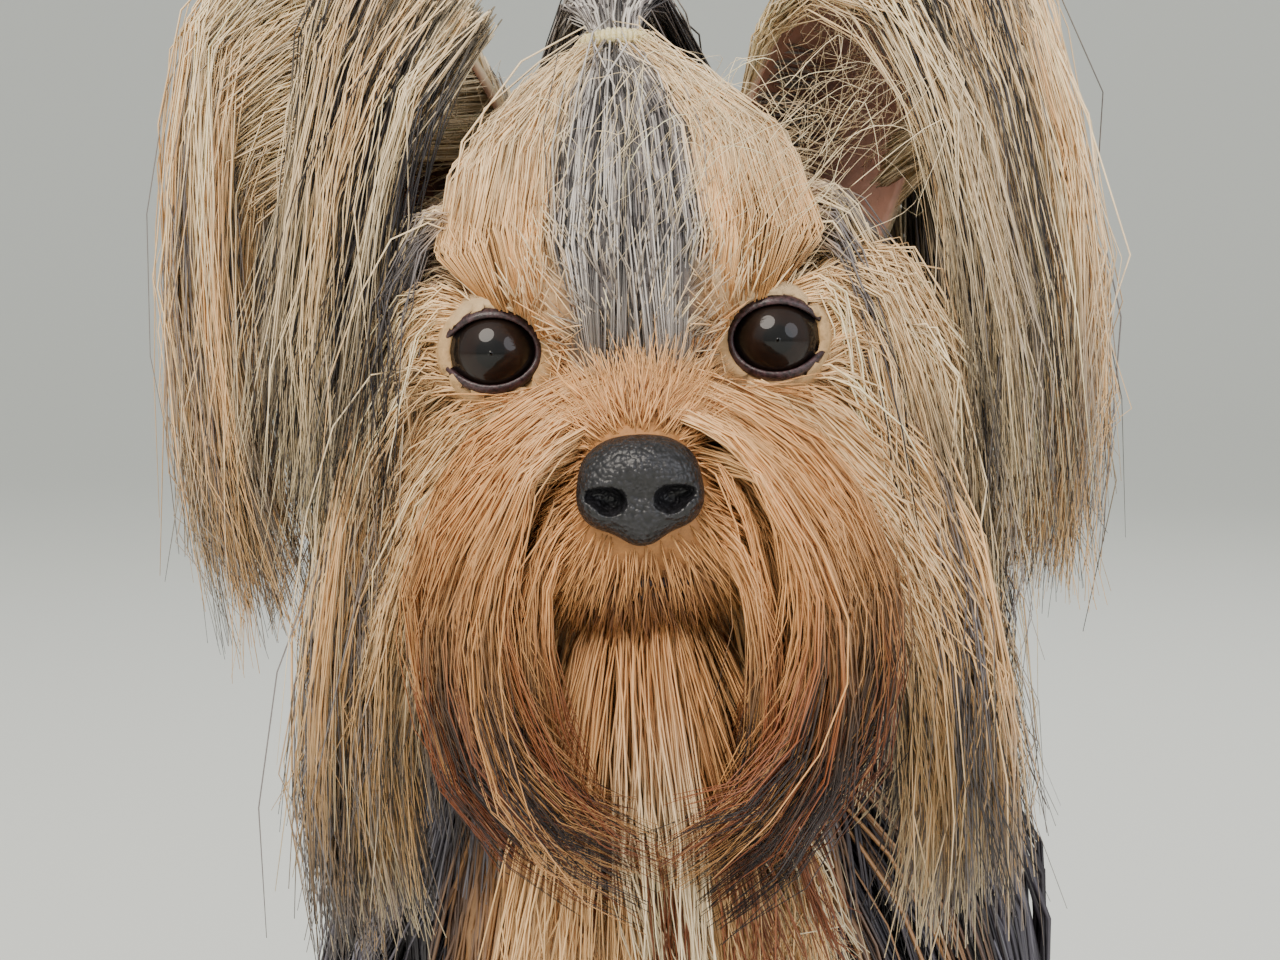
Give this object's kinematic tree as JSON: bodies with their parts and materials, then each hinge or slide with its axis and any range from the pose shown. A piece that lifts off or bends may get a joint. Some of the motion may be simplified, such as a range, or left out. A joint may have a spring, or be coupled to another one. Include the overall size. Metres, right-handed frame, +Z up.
{
  "type": "yorkshire terrier",
  "caption": "Small long-coated toy terrier standing square, head turned slightly to its left, topknot tied up with an elastic band, coat parted along the back.",
  "frame": {"origin": "on the floor under the middle of the bounding box", "axes": "+Z up; the dog faces -Y, so +Y runs from its face to its tail and +X is its left side"},
  "size_m": [0.1638, 0.3802, 0.3569],
  "materials": {
    "coat_gold": "long silky hair, golden tan",
    "coat_tan": "silky hair, rich tan",
    "coat_steel": "long silky hair, dark steel grey",
    "coat_silver": "silky hair, silver grey",
    "eye_dark": "wet and glossy, dark brown",
    "nose_black": "moist, finely pebbled, black",
    "claw_black": "smooth horn, near black",
    "band_cream": "woven elastic, pale cream"
  },
  "bodies": {
    "root": {"eye_left": "eye_dark", "eye_right": "eye_dark", "nose": "nose_black", "hair_band": "band_cream", "head": "coat_gold", "jaw": "coat_gold", "muzzle_left": "coat_tan", "muzzle_right": "coat_tan", "cheek_left": "coat_gold", "cheek_right": "coat_gold", "ear_left": "coat_gold", "ear_right": "coat_gold", "topknot": "coat_silver", "torso_left": "coat_steel", "torso_right": "coat_steel", "neck": "coat_steel", "tail": "coat_steel", "foreleg_left": "coat_tan", "forepaw_left": "coat_tan", "foreclaw_left_1": "claw_black", "foreclaw_left_2": "claw_black", "foreclaw_left_3": "claw_black", "foreclaw_left_4": "claw_black", "foreleg_right": "coat_tan", "forepaw_right": "coat_tan", "foreclaw_right_1": "claw_black", "foreclaw_right_2": "claw_black", "foreclaw_right_3": "claw_black", "foreclaw_right_4": "claw_black", "hindleg_left": "coat_tan", "hindpaw_left": "coat_tan", "hindclaw_left_1": "claw_black", "hindclaw_left_2": "claw_black", "hindclaw_left_3": "claw_black", "hindclaw_left_4": "claw_black", "hindleg_right": "coat_tan", "hindpaw_right": "coat_tan", "hindclaw_right_1": "claw_black", "hindclaw_right_2": "claw_black", "hindclaw_right_3": "claw_black", "hindclaw_right_4": "claw_black"}
  },
  "joints": []
}
